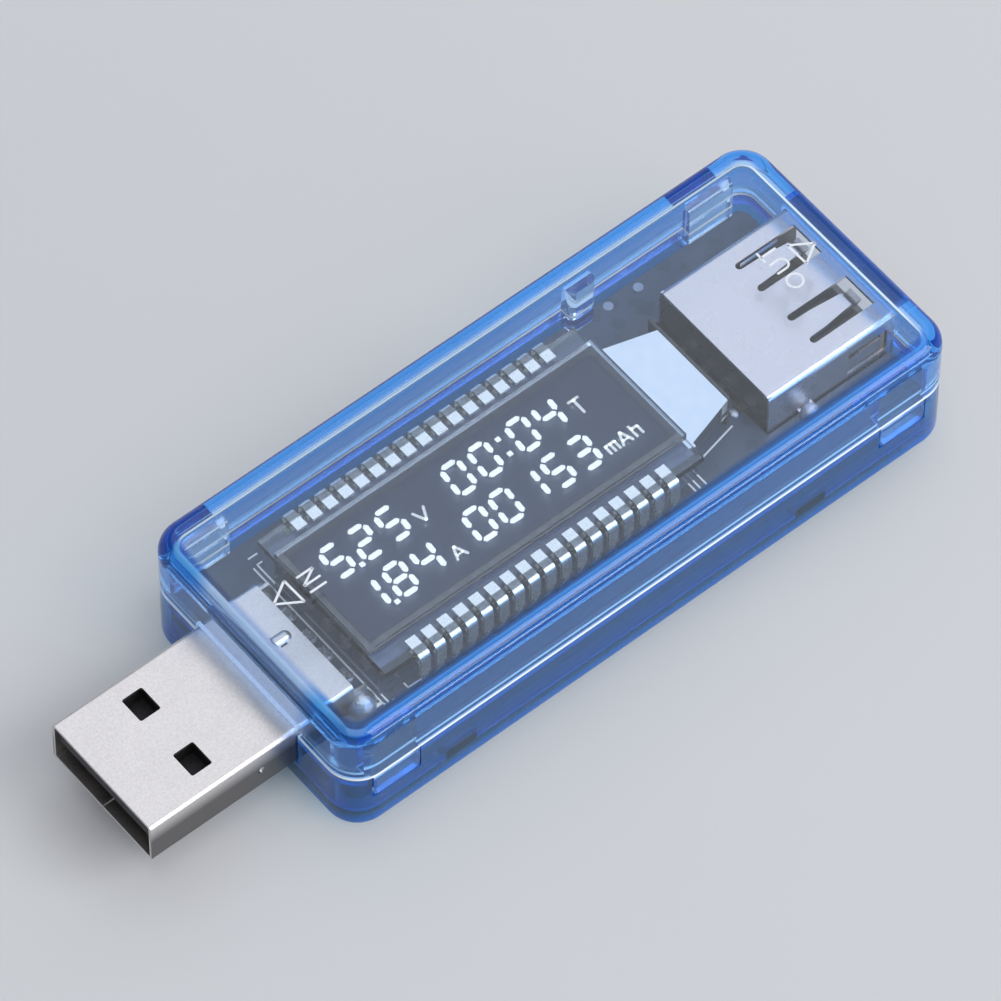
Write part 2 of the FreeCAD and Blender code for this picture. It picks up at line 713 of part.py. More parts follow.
def main():
    os.makedirs("parts", exist_ok=True)
    export("top_cover", top_cover())
    export("bottom_cover", bottom_cover())
    export("circuit_board", circuit_board())

    plug_metal = plug_shell()
    plug_blades = [plug_contact(y) for y in contact_pitches]
    export("plug_shell", plug_metal)
    plug_body = plug_insulator()
    export("plug_insulator", plug_body)
    export("plug_contacts", plug_blades)
    export("plug_solder", plug_solder(Part.makeCompound([plug_metal, plug_body]), plug_blades))

    socket_metal = receptacle_shell()
    socket_blades = [receptacle_contact(y) for y in contact_pitches]
    export("receptacle_shell", socket_metal)
    export("receptacle_insulator", receptacle_insulator())
    export("receptacle_contacts", socket_blades)
    export("receptacle_solder", receptacle_solder(socket_metal, socket_blades))

    export("lcd_rear_glass", lcd_rear_glass())
    export("lcd_front_glass", lcd_front_glass())
    export("lcd_seal", lcd_seal())
    export("lcd_front_polarizer", lcd_front_polarizer())
    export("lcd_rear_polarizer", lcd_rear_polarizer())
    pins_far = [pin_clip(x, 1) for x in pin_xs()]
    pins_near = [pin_clip(x, -1) for x in pin_xs()]
    export("lcd_pins_far", pins_far)
    export("lcd_pins_near", pins_near)
    export("lcd_solder", lcd_solder(pins_far, pins_near))

    export("backlight_guide", backlight_guide())
    export("backlight_diffuser", backlight_diffuser())
    export("backlight_reflector", backlight_reflector())
    export("backlight_led_board", backlight_led_board())
    export("backlight_leds", [led(y, 0) for y in led_ys])

    for name, spec in packages.items():
        length, width, height = spec["size"]
        export(name, chip(spec["x"], spec["y"], length, width, height))
        export(name + "_leads", chip_leads(spec["x"], spec["y"], width, height, *spec["leads"]))

    terminals = []
    for name, group in two_terminal_groups.items():
        bodies, caps = chip_group(**group)
        export(name, bodies)
        terminals.extend(caps)
    export("chip_terminals", terminals)


main()
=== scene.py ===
import json
import math

import bpy
from mathutils import Matrix, Vector

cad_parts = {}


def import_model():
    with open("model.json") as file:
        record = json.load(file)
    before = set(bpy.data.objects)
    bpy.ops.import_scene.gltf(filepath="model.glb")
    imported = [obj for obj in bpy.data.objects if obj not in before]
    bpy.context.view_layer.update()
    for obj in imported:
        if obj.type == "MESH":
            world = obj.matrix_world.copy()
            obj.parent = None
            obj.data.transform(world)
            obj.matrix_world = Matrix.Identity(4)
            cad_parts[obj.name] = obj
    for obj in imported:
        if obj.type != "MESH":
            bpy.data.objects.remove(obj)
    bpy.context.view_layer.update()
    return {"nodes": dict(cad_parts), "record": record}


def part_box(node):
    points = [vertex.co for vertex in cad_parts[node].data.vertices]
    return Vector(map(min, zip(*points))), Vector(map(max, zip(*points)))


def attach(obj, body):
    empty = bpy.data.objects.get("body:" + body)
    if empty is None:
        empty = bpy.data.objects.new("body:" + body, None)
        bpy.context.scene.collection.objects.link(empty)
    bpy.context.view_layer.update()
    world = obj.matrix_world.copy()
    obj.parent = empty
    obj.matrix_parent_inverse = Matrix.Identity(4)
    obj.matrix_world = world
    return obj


# A USB power meter in a clear blue case. Blender's lengths are in metres. The sizes and places of the
# meter are named in millimetres, and MM turns them into metres. The case's outline and the heights of
# the flat pieces come from the frame's boxes.

MM = 0.001

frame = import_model()
nodes = frame["nodes"]


def box_mm(node):
    """A node's lowest and highest corners in millimetres."""
    lowest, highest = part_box(node)
    return lowest / MM, highest / MM


# Node helpers -------------------------------------------------------------------------------------

def start_material(name):
    """An empty node material and its output node."""
    material = bpy.data.materials.new(name)
    material.use_nodes = True
    tree = material.node_tree
    tree.nodes.clear()
    return material, tree, tree.nodes.new("ShaderNodeOutputMaterial")


def add(tree, kind, values=None, **settings):
    """A shader node with its settings and the values of its unlinked inputs."""
    made = tree.nodes.new("ShaderNode" + kind)
    for key, value in settings.items():
        setattr(made, key, value)
    for key, value in (values or {}).items():
        made.inputs[key].default_value = value
    return made


def rgba(colour):
    return (*colour, 1.0)


def millimetres(tree):
    """Object coordinates in millimetres."""
    place = add(tree, "TexCoord")
    scale = add(tree, "Mapping", {"Scale": (1 / MM, 1 / MM, 1 / MM)})
    tree.links.new(place.outputs["Object"], scale.inputs["Vector"])
    return scale.outputs["Vector"]


def noise(tree, vector, scale, detail=2.0, rough=0.5):
    made = add(tree, "TexNoise", {"Scale": scale, "Detail": detail, "Roughness": rough})
    tree.links.new(vector, made.inputs["Vector"])
    return made.outputs["Fac"]


def remap(tree, value, low, high, from_low=0.3, from_high=0.7):
    """A value carried from one range to another and held at its ends; the usual range suits noise."""
    made = add(tree, "MapRange", {"From Min": from_low, "From Max": from_high, "To Min": low, "To Max": high})
    tree.links.new(value, made.inputs["Value"])
    return made.outputs["Result"]


def blend_colours(tree, factor, first, second):
    """From the first colour to the second; the first is a colour or the socket of one."""
    made = add(tree, "Mix", data_type="RGBA")
    tree.links.new(factor, made.inputs["Factor"])
    if isinstance(first, tuple):
        made.inputs["A"].default_value = rgba(first)
    else:
        tree.links.new(first, made.inputs["A"])
    made.inputs["B"].default_value = rgba(second)
    return made.outputs["Result"]


def bump(tree, height, distance):
    made = add(tree, "Bump", {"Distance": distance})
    tree.links.new(height, made.inputs["Height"])
    return made.outputs["Normal"]


def calculate(tree, operation, a, b=None):
    """A sum, product or the like of one socket and a second socket or a plain number."""
    made = add(tree, "Math", operation=operation)
    tree.links.new(a, made.inputs[0])
    if isinstance(b, float):
        made.inputs[1].default_value = b
    elif b is not None:
        tree.links.new(b, made.inputs[1])
    return made.outputs["Value"]


def along_axes(tree, vector):
    split = add(tree, "SeparateXYZ")
    tree.links.new(vector, split.inputs["Vector"])
    return split.outputs


def distance_from(tree, coordinate, middle):
    """How far a coordinate is from a place, to either side."""
    return calculate(tree, "ABSOLUTE", calculate(tree, "SUBTRACT", coordinate, middle))


def beyond(tree, coordinate, middle, half):
    """How far a coordinate lies outside a strip about its middle, or nothing inside it."""
    outside = calculate(tree, "SUBTRACT", distance_from(tree, coordinate, middle), half)
    return calculate(tree, "MAXIMUM", outside, 0.0)


def band(tree, coordinate, start, end, soft):
    """One between two places along a coordinate, fading out beyond both."""
    half = (end - start) / 2
    return remap(tree, distance_from(tree, coordinate, (start + end) / 2), 1.0, 0.0, half, half + soft)


# Materials ----------------------------------------------------------------------------------------

# The case: its outline seen from above, its top and the radius of its upright corners
case_low, case_high = box_mm("top_cover")
case_centre_x = (case_low.x + case_high.x) / 2
case_half_length = (case_high.x - case_low.x) / 2
case_half_width = case_high.y
case_top = case_high.z
case_corner = 2.8

# The rims' painted glow, standing in for light gathered in the thick walls: how far in from the outline it is
# gone, and how far in it is still full
rim_gone = 1.95
rim_full = 1.5

# The thin end wall at the plug: its half width, how far in from the end it reaches, the lengths over
# which it fades out, and the share of the rims' painted glow that it lacks
thin_half_width = 5.4
thin_reach = 2.05
thin_fade_y = 2.0
thin_fade_x = 0.6
thin_share = 0.6

# Painted highlight lines along edges: the inner corner, as far in from the sides as from the top, and the
# seam; the inner corner's painted line is fainter along the -Y wall
inner_edge = 1.53
seam_line_z = 6.93
edge_line = 0.22
highlight_line_colour = (0.93, 0.98, 1.0)
highlight_line_cover = 0.92
faint_highlight_share = 0.45
faint_y = -11.0
bright_y = -8.0

# Painted shade on the rounded top edge: its painted glow is a deeper blue than on the walls below it
rounding_z0 = case_top - 1.6
rounding_z1 = case_top - 0.8
rounding_shade_colour = (0.02, 0.22, 0.76)

# Painted glow on the rounded foot of the case, standing in for light gathering in the deeper plastic
foot_full_z = 1.3
foot_gone_z = 2.6
foot_glow_cover = 0.55


def clear_shader(tree, at, rough):
    """The polished skin of clear plastic or glass, its polish a little uneven."""
    shader = add(tree, "BsdfPrincipled", {"IOR": 1.5, "Transmission Weight": 1.0})
    haze = remap(tree, noise(tree, at, 0.9, 3.0), rough * 0.4, rough * 1.6)
    tree.links.new(haze, shader.inputs["Roughness"])
    return shader


def let_light_through(tree, shader, output, tint, density):
    """Lamps shine through the clear part, and the tint deepens with the light's way through it."""
    through = add(tree, "BsdfTransparent", {"Color": rgba((1, 1, 1))})
    path = add(tree, "LightPath")
    for_diffuse = add(tree, "MixShader")
    tree.links.new(path.outputs["Is Diffuse Ray"], for_diffuse.inputs["Fac"])
    tree.links.new(shader.outputs["BSDF"], for_diffuse.inputs[1])
    tree.links.new(through.outputs["BSDF"], for_diffuse.inputs[2])
    for_shadow = add(tree, "MixShader")
    tree.links.new(path.outputs["Is Shadow Ray"], for_shadow.inputs["Fac"])
    tree.links.new(for_diffuse.outputs["Shader"], for_shadow.inputs[1])
    tree.links.new(through.outputs["BSDF"], for_shadow.inputs[2])
    tree.links.new(for_shadow.outputs["Shader"], output.inputs["Surface"])
    absorb = add(tree, "VolumeAbsorption", {"Color": rgba(tint), "Density": density})
    tree.links.new(absorb.outputs["Volume"], output.inputs["Volume"])


def clear_plastic(name, colour, tint, density, rough):
    material, tree, output = start_material(name)
    at = millimetres(tree)
    shader = clear_shader(tree, at, rough)
    shader.inputs["Base Color"].default_value = rgba(colour)
    let_light_through(tree, shader, output, tint, density)
    return material


def inside_outline(tree, place):
    """Minus the distance in from the case's rounded outline; past the corner's radius it stays even."""
    over_x = beyond(tree, place["X"], case_centre_x, case_half_length - case_corner)
    over_y = beyond(tree, place["Y"], 0.0, case_half_width - case_corner)
    squares = calculate(tree, "ADD", calculate(tree, "MULTIPLY", over_x, over_x),
                        calculate(tree, "MULTIPLY", over_y, over_y))
    return calculate(tree, "SUBTRACT", calculate(tree, "SQRT", squares), case_corner)


def over_plug(tree, place):
    """One in the end wall above and below the plug, where the moulding is thin and nearly clear."""
    across = band(tree, place["Y"], -thin_half_width, thin_half_width, thin_fade_y)
    inner_x = case_low.x + thin_reach
    along = remap(tree, place["X"], 1.0, 0.0, inner_x, inner_x + thin_fade_x)
    return calculate(tree, "MULTIPLY", across, along)


def painted_edge_lines(tree, depth, place):
    """One along the painted highlight lines: the inner corner and the seam."""
    from_corner = calculate(tree, "ADD", distance_from(tree, depth, -inner_edge),
                            distance_from(tree, place["Z"], case_top - inner_edge))
    corner = remap(tree, from_corner, 1.0, 0.0, edge_line, edge_line * 1.6)
    corner = calculate(tree, "MULTIPLY", corner, remap(tree, place["Y"], faint_highlight_share, 1.0, faint_y, bright_y))
    seam = remap(tree, distance_from(tree, place["Z"], seam_line_z), 1.0, 0.0, edge_line * 0.5, edge_line)
    return calculate(tree, "MAXIMUM", corner, seam)


def case_plastic(name, face_colour, rim_glow_colour, rim_clear, tint, density, rough, foot_glow_colour=None):
    """Tinted case plastic, clear over flat faces; painted blue glow in walls and foot, deeper painted blue on
    the top rounding, painted highlight lines.
    """
    material, tree, output = start_material(name)
    at = millimetres(tree)
    shader = clear_shader(tree, at, rough)
    place = along_axes(tree, at)
    depth = inside_outline(tree, place)
    rims = remap(tree, depth, 0.0, 1.0, -rim_gone, -rim_full)
    thin = calculate(tree, "MULTIPLY", rims, over_plug(tree, place))
    rims = calculate(tree, "SUBTRACT", rims, calculate(tree, "MULTIPLY", thin, thin_share))
    edges = painted_edge_lines(tree, depth, place)
    # Painted glow: the walls take a blue diffuse colour that stands in for light gathered in the thick
    # plastic, on top of its own blue tint
    colour = blend_colours(tree, rims, face_colour, rim_glow_colour)
    rounded = remap(tree, place["Z"], 0.0, 1.0, rounding_z0, rounding_z1)
    # Painted shade: a deeper blue painted on the rounded top edge
    colour = blend_colours(tree, calculate(tree, "MULTIPLY", rounded, rims), colour, rounding_shade_colour)
    clear = remap(tree, rims, 1.0, rim_clear, 0.0, 1.0)
    if foot_glow_colour is not None:
        # Painted glow: the foot takes a deep blue diffuse colour in place of light gathered there
        foot = remap(tree, place["Z"], 1.0, 0.0, foot_full_z, foot_gone_z)
        foot = calculate(tree, "MULTIPLY", foot, rims)
        colour = blend_colours(tree, foot, colour, foot_glow_colour)
        clear = calculate(tree, "SUBTRACT", clear, calculate(tree, "MULTIPLY", foot, foot_glow_cover))
    # Painted highlights: light lines painted along the inner corner and the seam
    colour = blend_colours(tree, edges, colour, highlight_line_colour)
    tree.links.new(colour, shader.inputs["Base Color"])
    clear = calculate(tree, "SUBTRACT", clear, calculate(tree, "MULTIPLY", edges, highlight_line_cover))
    tree.links.new(clear, shader.inputs["Transmission Weight"])
    let_light_through(tree, shader, output, tint, density)
    return material


def metal(name, bright, dull, rough, grain_scale, grain_depth):
    """Tinned metal or solder: fine grain, uneven polish and faint smears."""
    material, tree, output = start_material(name)
    at = millimetres(tree)
    smears = noise(tree, at, 0.35, 4.0, 0.6)
    shader = add(tree, "BsdfPrincipled", {"Metallic": 1.0})
    colour = blend_colours(tree, remap(tree, smears, 0.0, 1.0), bright, dull)
    tree.links.new(colour, shader.inputs["Base Color"])
    tree.links.new(remap(tree, smears, rough * 0.85, rough * 1.15), shader.inputs["Roughness"])
    grain = bump(tree, noise(tree, at, grain_scale, 3.0, 0.6), grain_depth * MM)
    tree.links.new(grain, shader.inputs["Normal"])
    tree.links.new(shader.outputs["BSDF"], output.inputs["Surface"])
    return material


def plated_contact(name, gold_from, gold_to):
    """A tinned contact, gold-flashed along X between two places given in millimetres."""
    material, tree, output = start_material(name)
    at = millimetres(tree)
    fade = 0.4
    gilded = band(tree, along_axes(tree, at)["X"], gold_from + fade / 2, gold_to - fade / 2, fade)
    shader = add(tree, "BsdfPrincipled", {"Metallic": 1.0})
    colour = blend_colours(tree, gilded, (0.62, 0.63, 0.65), (0.83, 0.60, 0.27))
    tree.links.new(colour, shader.inputs["Base Color"])
    tree.links.new(remap(tree, noise(tree, at, 3.0, 3.0), 0.2, 0.34), shader.inputs["Roughness"])
    tree.links.new(shader.outputs["BSDF"], output.inputs["Surface"])
    return material


# The plug's plate: from where to where across its bend, and down its sides, the painted shade comes in
side_start_y = 5.80
side_full_y = 5.98
side_shade_start_z = 7.2
side_shade_full_z = 5.8


def plug_plate(name):
    """Satin nickel plate with a faint speckle and smears; painted shade darkens the sides below their bend.
    """
    material, tree, output = start_material(name)
    at = millimetres(tree)
    place = along_axes(tree, at)
    smears = noise(tree, at, 0.35, 4.0, 0.6)
    speckle = noise(tree, at, 5.0, 2.0, 0.7)
    specks = remap(tree, speckle, 0.0, 1.0, 0.35, 0.65)
    plate = blend_colours(tree, specks, (0.74, 0.71, 0.70), (0.65, 0.62, 0.61))
    off_axis = calculate(tree, "ABSOLUTE", place["Y"])
    sides = calculate(tree, "MULTIPLY", remap(tree, off_axis, 0.0, 1.0, side_start_y, side_full_y),
                      remap(tree, place["Z"], 1.0, 0.0, side_shade_full_z, side_shade_start_z))
    shader = add(tree, "BsdfPrincipled", {"Metallic": 1.0})
    # Painted shade: the sides below the bend are painted a darker colour of the same nickel
    tree.links.new(blend_colours(tree, sides, plate, (0.18, 0.17, 0.168)), shader.inputs["Base Color"])
    tree.links.new(remap(tree, smears, 0.27, 0.35), shader.inputs["Roughness"])
    tree.links.new(bump(tree, speckle, 0.0015 * MM), shader.inputs["Normal"])
    tree.links.new(shader.outputs["BSDF"], output.inputs["Surface"])
    return material


# The display's clips: from where to where, out from the middle line, the painted highlights on the finger's
# end and on the bend lie
finger_from = 6.2
finger_to = 7.30
bend_from = 7.98
bend_to = 8.24


def bent_clip(name):
    """A tinned clip: painted highlights at the finger's end and on the bend, painted shade mottled by wear in
    between and down the leg.
    """
    material, tree, output = start_material(name)
    at = millimetres(tree)
    off_middle = calculate(tree, "ABSOLUTE", along_axes(tree, at)["Y"])
    # Painted highlights on the finger's end and on the bend
    clip_highlights = calculate(tree, "MAXIMUM", band(tree, off_middle, finger_from, finger_to, 0.08),
                      band(tree, off_middle, bend_from, bend_to, 0.04))
    worn = remap(tree, noise(tree, at, 1.7, 3.0, 0.6), 0.0, 1.0)
    # Painted shade, mottled by wear: the clip's dark colour between the highlights and down the leg
    dull = blend_colours(tree, worn, (0.26, 0.29, 0.31), (0.15, 0.17, 0.19))
    shader = add(tree, "BsdfPrincipled", {"Metallic": 0.6})
    tree.links.new(blend_colours(tree, clip_highlights, dull, (0.88, 0.91, 0.90)), shader.inputs["Base Color"])
    tree.links.new(remap(tree, worn, 0.2, 0.32, 0.0, 1.0), shader.inputs["Roughness"])
    tree.links.new(bump(tree, noise(tree, at, 1.6, 2.0), 0.05 * MM), shader.inputs["Normal"])
    tree.links.new(shader.outputs["BSDF"], output.inputs["Surface"])
    return material


# The inside of the receptacle's shell, painted in shade: its half width, its middle height and its half
# height
inside_half_width = 6.30
inside_middle_z = 6.15
inside_half_height = 2.75


def shaded_inside(name):
    """Satin plated sheet with painted shade, a dark colour, on its inside round the plug's way in."""
    material, tree, output = start_material(name)
    at = millimetres(tree)
    place = along_axes(tree, at)
    off_middle = calculate(tree, "ABSOLUTE", place["Y"])
    out_y = remap(tree, off_middle, 0.0, 1.0, inside_half_width, inside_half_width + 0.2)
    off_height = distance_from(tree, place["Z"], inside_middle_z)
    out_z = remap(tree, off_height, 0.0, 1.0, inside_half_height, inside_half_height + 0.1)
    outside = calculate(tree, "MAXIMUM", out_y, out_z)
    shader = add(tree, "BsdfPrincipled", {"Metallic": 1.0})
    # Painted shade: the inside of the shell is painted dark
    tree.links.new(blend_colours(tree, outside, (0.10, 0.10, 0.105), (0.75, 0.69, 0.685)),
                   shader.inputs["Base Color"])
    tree.links.new(remap(tree, noise(tree, at, 0.35, 2.0, 0.5), 0.25, 0.29), shader.inputs["Roughness"])
    tree.links.new(shader.outputs["BSDF"], output.inputs["Surface"])
    return material


def moulded(name, dark, light, rough, grain_scale, grain_depth, specular=0.5):
    """An opaque moulded, printed or sintered surface with a fine grain and slight mottling."""
    material, tree, output = start_material(name)
    at = millimetres(tree)
    shader = add(tree, "BsdfPrincipled", {"Specular IOR Level": specular})
    mottle = noise(tree, at, grain_scale * 0.3, 4.0, 0.6)
    colour = blend_colours(tree, remap(tree, mottle, 0.0, 1.0), dark, light)
    tree.links.new(colour, shader.inputs["Base Color"])
    tree.links.new(remap(tree, mottle, rough * 0.85, rough * 1.15), shader.inputs["Roughness"])
    grain = bump(tree, noise(tree, at, grain_scale, 2.0), grain_depth * MM)
    tree.links.new(grain, shader.inputs["Normal"])
    tree.links.new(shader.outputs["BSDF"], output.inputs["Surface"])
    return material


def thin_film(name, colour, cover, rough):
    """A thin sheet that shades what lies under it and keeps its own gloss."""
    material, tree, output = start_material(name)
    at = millimetres(tree)
    shader = add(tree, "BsdfPrincipled", {"Base Color": rgba(colour), "IOR": 1.45, "Alpha": cover})
    haze = remap(tree, noise(tree, at, 0.5, 2.0), rough * 0.7, rough * 1.3)
    tree.links.new(haze, shader.inputs["Roughness"])
    tree.links.new(shader.outputs["BSDF"], output.inputs["Surface"])
    return material


def solder_mask(name):
    """Dark solder mask: glossy, with the low relief of copper tracks under it."""
    material, tree, output = start_material(name)
    at = millimetres(tree)
    shader = add(tree, "BsdfPrincipled", {"Specular IOR Level": 0.5})
    tracks = add(tree, "TexVoronoi", {"Scale": 0.55, "Randomness": 0.8}, distance="MANHATTAN", feature="F1")
    tree.links.new(at, tracks.inputs["Vector"])
    edge = remap(tree, tracks.outputs["Distance"], 0.0, 1.0, 0.50, 0.54)
    tree.links.new(blend_colours(tree, edge, (0.038, 0.060, 0.100), (0.052, 0.078, 0.126)),
                   shader.inputs["Base Color"])
    tree.links.new(remap(tree, noise(tree, at, 0.8, 3.0), 0.28, 0.42), shader.inputs["Roughness"])
    tree.links.new(bump(tree, edge, 0.012 * MM), shader.inputs["Normal"])
    tree.links.new(shader.outputs["BSDF"], output.inputs["Surface"])
    return material


def glowing(name, colour, dim, strength):
    """A backlit surface: it gives off light of its own, a little uneven."""
    material, tree, output = start_material(name)
    at = millimetres(tree)
    shader = add(tree, "BsdfPrincipled", {"Base Color": rgba(colour), "Roughness": 0.5,
                                          "Emission Strength": strength})
    uneven = remap(tree, noise(tree, at, 1.1, 2.0), 0.0, 1.0)
    tree.links.new(blend_colours(tree, uneven, dim, colour), shader.inputs["Emission Color"])
    tree.links.new(shader.outputs["BSDF"], output.inputs["Surface"])
    return material


# The materials of the record's slots; both nodes of the slot gold_contact are special
materials = {
    # The rim and foot colours are painted glow in the plastic's blue; the face colours are the plastic's own
    # tint
    "clear_blue_cover": case_plastic(
        "clear_blue_plastic", face_colour=(0.89, 0.92, 0.985), rim_glow_colour=(0.14, 0.42, 0.92),
        rim_clear=0.92, tint=(0.50, 0.80, 0.99), density=110.0, rough=0.03),
    "deep_blue_cover": case_plastic(
        "deep_blue_plastic", face_colour=(0.20, 0.48, 0.80), rim_glow_colour=(0.025, 0.28, 0.64),
        rim_clear=0.90, tint=(0.35, 0.78, 0.96), density=220.0, rough=0.05,
        foot_glow_colour=(0.008, 0.16, 0.66)),
    "board_laminate": solder_mask("solder_mask"),
    "nickel_sheet": plug_plate("nickel_plate"),
    "black_nylon": moulded(
        "black_nylon", (0.010, 0.010, 0.011), (0.022, 0.022, 0.024), 0.5, 8.0, 0.01, specular=0.35),
    "solder": metal("bright_solder", (0.64, 0.65, 0.67), (0.44, 0.45, 0.47), 0.38, 2.2, 0.12),
    "display_glass": clear_plastic("display_glass", (0.93, 0.97, 0.98), (0.70, 0.86, 0.88), 60.0, 0.005),
    "epoxy_seal": moulded("epoxy_seal", (0.10, 0.11, 0.13), (0.17, 0.18, 0.20), 0.4, 4.0, 0.01),
    "polarizer_film": thin_film("polarizer_film", (0.035, 0.045, 0.08), 0.35, 0.06),
    "tinned_pin": bent_clip("tinned_clip"),
    "clear_acrylic": clear_plastic("clear_acrylic", (0.97, 0.99, 1.0), (0.90, 0.96, 1.0), 20.0, 0.02),
    "white_film": moulded("white_film", (0.72, 0.80, 0.92), (0.78, 0.85, 0.95), 0.4, 3.0, 0.001),
    "led_package": moulded("led_package", (0.42, 0.43, 0.42), (0.52, 0.53, 0.50), 0.35, 5.0, 0.005),
    "black_epoxy": moulded("black_epoxy", (0.014, 0.014, 0.015), (0.03, 0.03, 0.032), 0.55, 18.0, 0.006),
    "tinned_lead": metal("tinned_lead", (0.78, 0.79, 0.79), (0.66, 0.67, 0.68), 0.28, 6.0, 0.004),
    "resistor_ceramic": moulded(
        "resistor_glaze", (0.02, 0.02, 0.024), (0.05, 0.05, 0.055), 0.3, 6.0, 0.006),
    "capacitor_ceramic": moulded(
        "capacitor_ceramic", (0.50, 0.36, 0.23), (0.60, 0.45, 0.30), 0.5, 9.0, 0.006),
}

# Nodes that look different from the rest of their slot
special = {
    "lcd_rear_polarizer": moulded(
        "rear_film", (0.048, 0.076, 0.168), (0.054, 0.086, 0.186), 0.3, 3.0, 0.001),
    "backlight_led_board": moulded(
        "led_laminate", (0.03, 0.035, 0.04), (0.05, 0.055, 0.06), 0.25, 4.0, 0.004),
    "plug_contacts": plated_contact("plug_contact_plate", -36.0, -26.0),
    # Painted shade: the receptacle's contacts are painted dark, as in the shade of the shell
    "receptacle_contacts": moulded(
        "receptacle_contact", (0.05, 0.045, 0.03), (0.09, 0.08, 0.05), 0.4, 5.0, 0.002),
    "receptacle_shell": shaded_inside("receptacle_plate"),
    "backlight_reflector": moulded(
        "reflector_back", (0.055, 0.085, 0.135), (0.070, 0.105, 0.165), 0.3, 3.0, 0.001),
}

slot_of = {part["node"]: part["material_slot"] for part in frame["record"]["subparts"]}
for node_name, node_object in nodes.items():
    node_object.data.materials.clear()
    own = special.get(node_name) or materials[slot_of[node_name]]
    node_object.data.materials.append(own)


# Flat pieces: display segments, print and marks ----------------------------------------------------

def flat_piece(name, outlines, z0, z1, material):
    """Flat shapes of one thickness, each a closed outline of (x, y) in millimetres, as one piece."""
    vertices = []
    faces = []
    for outline in outlines:
        base = len(vertices)
        count = len(outline)
        vertices += [(x * MM, y * MM, z0 * MM) for x, y in outline]
        vertices += [(x * MM, y * MM, z1 * MM) for x, y in outline]
        faces.append([base + i for i in reversed(range(count))])
        faces.append([base + count + i for i in range(count)])
        for i in range(count):
            j = (i + 1) % count
            faces.append([base + i, base + j, base + count + j, base + count + i])
    mesh = bpy.data.meshes.new(name)
    mesh.from_pydata(vertices, [], faces)
    mesh.update()
    piece = bpy.data.objects.new(name, mesh)
    bpy.context.scene.collection.objects.link(piece)
    mesh.materials.append(material)
    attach(piece, "root")
    return piece


def stroke(a, b, width):
    """The outline of a straight stroke with pointed ends, as a display segment has."""
    start = Vector(a)
    end = Vector(b)
    along = (end - start).normalized()
    across = Vector((-along.y, along.x)) * width / 2
    nose_share = 0.45
    nose = along * width * nose_share
    return [tuple(p) for p in (start, start + nose - across, end - nose - across, end,
                               end - nose + across, start + nose + across)]


def bar(a, b, width):
    """The outline of a straight stroke with square ends."""
    start = Vector(a)
    end = Vector(b)
    along = (end - start).normalized()
    across = Vector((-along.y, along.x)) * width / 2
    return [tuple(p) for p in (start - across, end - across, end + across, start + across)]


# The reading, in the thin gap between the two glasses
gap_floor_z = box_mm("lcd_rear_glass")[1].z
segment_z0 = gap_floor_z + 0.012
segment_z1 = gap_floor_z + 0.038
digit_slant = 0.083
digit_half_height = 1.39
digit_half_width = 0.80
segment_width = 0.46
segment_gap = 0.13
segments_of = {"0": "abcdef", "1": "bc", "2": "abged", "3": "abgcd", "4": "fgbc", "5": "afgcd",
               "8": "abcdefg"}


def digit(character, x, y):
    """The segments of one slanted seven-segment digit about its centre."""
    w = digit_half_width
    h = digit_half_height
    g = segment_gap
    ends = {"a": ((-w + g, h), (w - g, h)), "g": ((-w + g, 0), (w - g, 0)), "d": ((-w + g, -h), (w - g, -h)),
            "f": ((-w, g), (-w, h - g)), "b": ((w, g), (w, h - g)),
            "e": ((-w, g - h), (-w, -g)), "c": ((w, g - h), (w, -g))}

    def lean(point):
        return (x + point[0] + digit_slant * point[1], y + point[1])

    return [stroke(lean(ends[s][0]), lean(ends[s][1]), segment_width) for s in segments_of[character]]


def dot(x, y, size):
    """The outline of a square dot about its centre."""
    half = size / 2
    return [(x - half, y - half), (x + half, y - half), (x + half, y + half), (x - half, y + half)]


# The left-hand group, volts over amperes, and the right-hand one, time over charge, which stands higher
upper_y = 2.33
lower_y = -1.92
left_x = -12.22
left_pitch = 2.665
right_rise = 0.07
clock_x = (-0.40, 2.23, 5.92, 8.51)
charge_x = -1.76
charge_pitch = 2.55
dot_size = 0.42
dot_drop = 1.45
decimal_points = ((-10.97, upper_y - dot_drop), (-11.02, lower_y - dot_drop))
colon = ((4.12, 3.21), (4.01, 1.63))


def display_segments():
    """The lit digits, the two decimal points and the colon."""
    shapes = []
    for i, (upper, lower) in enumerate(zip("525", "184", strict=True)):
        shapes += digit(upper, left_x + i * left_pitch, upper_y)
        shapes += digit(lower, left_x + i * left_pitch, lower_y)
    for character, x in zip("0004", clock_x, strict=True):
        shapes += digit(character, x, upper_y + right_rise)
    for i, character in enumerate("00153"):
        shapes += digit(character, charge_x + i * charge_pitch, lower_y + right_rise)
    shapes += [dot(x, y, dot_size) for x, y in decimal_points + colon]
    return shapes


unit_width = 0.22


